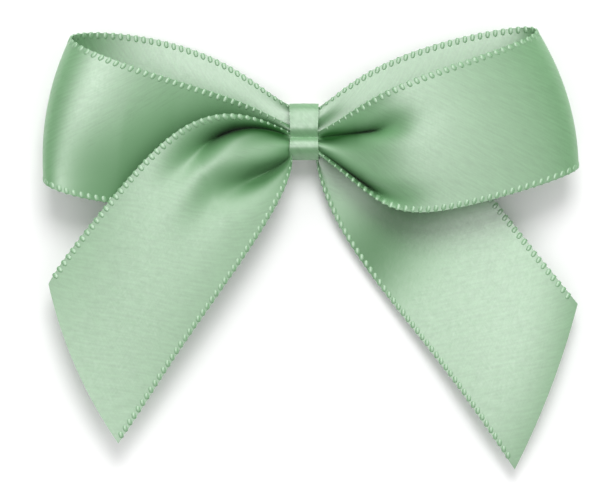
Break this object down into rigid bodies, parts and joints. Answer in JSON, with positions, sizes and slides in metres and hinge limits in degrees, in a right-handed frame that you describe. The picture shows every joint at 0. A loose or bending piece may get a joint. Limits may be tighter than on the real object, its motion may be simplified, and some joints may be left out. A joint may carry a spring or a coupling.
{
  "type": "pre-made gift bow",
  "caption": "Satin ribbon gift bow with two loops, two slant-cut tails, a narrow tie ribbon round the knot and an adhesive foam pad behind it.",
  "frame": {"origin": "on the back face of the pad's release liner, behind the middle of the knot", "axes": "+X to the bow's right as seen from its front, +Y to its top, +Z out of its front; the bow lies on its back"},
  "size_m": [0.0554, 0.0459, 0.0084],
  "materials": {
    "bow_satin": "pale green single-face satin, soft sheen across the ribbon",
    "tie_satin": "pale green narrow satin, soft sheen",
    "thread": "matt twisted polyester thread",
    "glue": "clear set hot-melt glue",
    "foam": "white closed-cell foam",
    "adhesive": "tacky acrylic adhesive film",
    "liner": "smooth silicone-coated release paper"
  },
  "bodies": {
    "knot": {"centre_gathers": "bow_satin", "tie_band": "tie_satin", "binding_thread": "thread", "tie_glue": "glue", "foam_pad": "foam", "pad_adhesive_front": "adhesive", "pad_adhesive_back": "adhesive"},
    "left_loop": {"left_loop": "bow_satin"},
    "right_loop": {"right_loop": "bow_satin"},
    "left_tail": {"left_tail": "bow_satin"},
    "right_tail": {"right_tail": "bow_satin"},
    "liner": {"release_liner": "liner"}
  },
  "joints": [
    {"name": "left_tail_lift", "type": "hinge", "parent": "knot", "child": "left_tail", "pos_m": [-0.0018, 0, 0.0042], "axis": [0, 1, 0], "range_deg": [0, 45], "stiffness_Nm_per_rad": 0.0015},
    {"name": "right_loop_lift", "type": "hinge", "parent": "knot", "child": "right_loop", "pos_m": [0.0018, 0, 0.0043], "axis": [0, -1, 0], "range_deg": [0, 30], "stiffness_Nm_per_rad": 0.0015},
    {"name": "left_loop_bend", "type": "hinge", "parent": "knot", "child": "left_loop", "pos_m": [-0.0018, 0, 0.002], "axis": [0, 1, 0], "range_deg": [-20, 0], "stiffness_Nm_per_rad": 0.0015},
    {"name": "right_tail_bend", "type": "hinge", "parent": "knot", "child": "right_tail", "pos_m": [0.0018, 0, 0.002], "axis": [0, -1, 0], "range_deg": [-25, 0], "stiffness_Nm_per_rad": 0.0015},
    {"name": "liner_peel", "type": "hinge", "parent": "knot", "child": "liner", "pos_m": [-0.0028, 0, 0.0001], "axis": [0, 1, 0], "range_deg": [0, 75]}
  ]
}
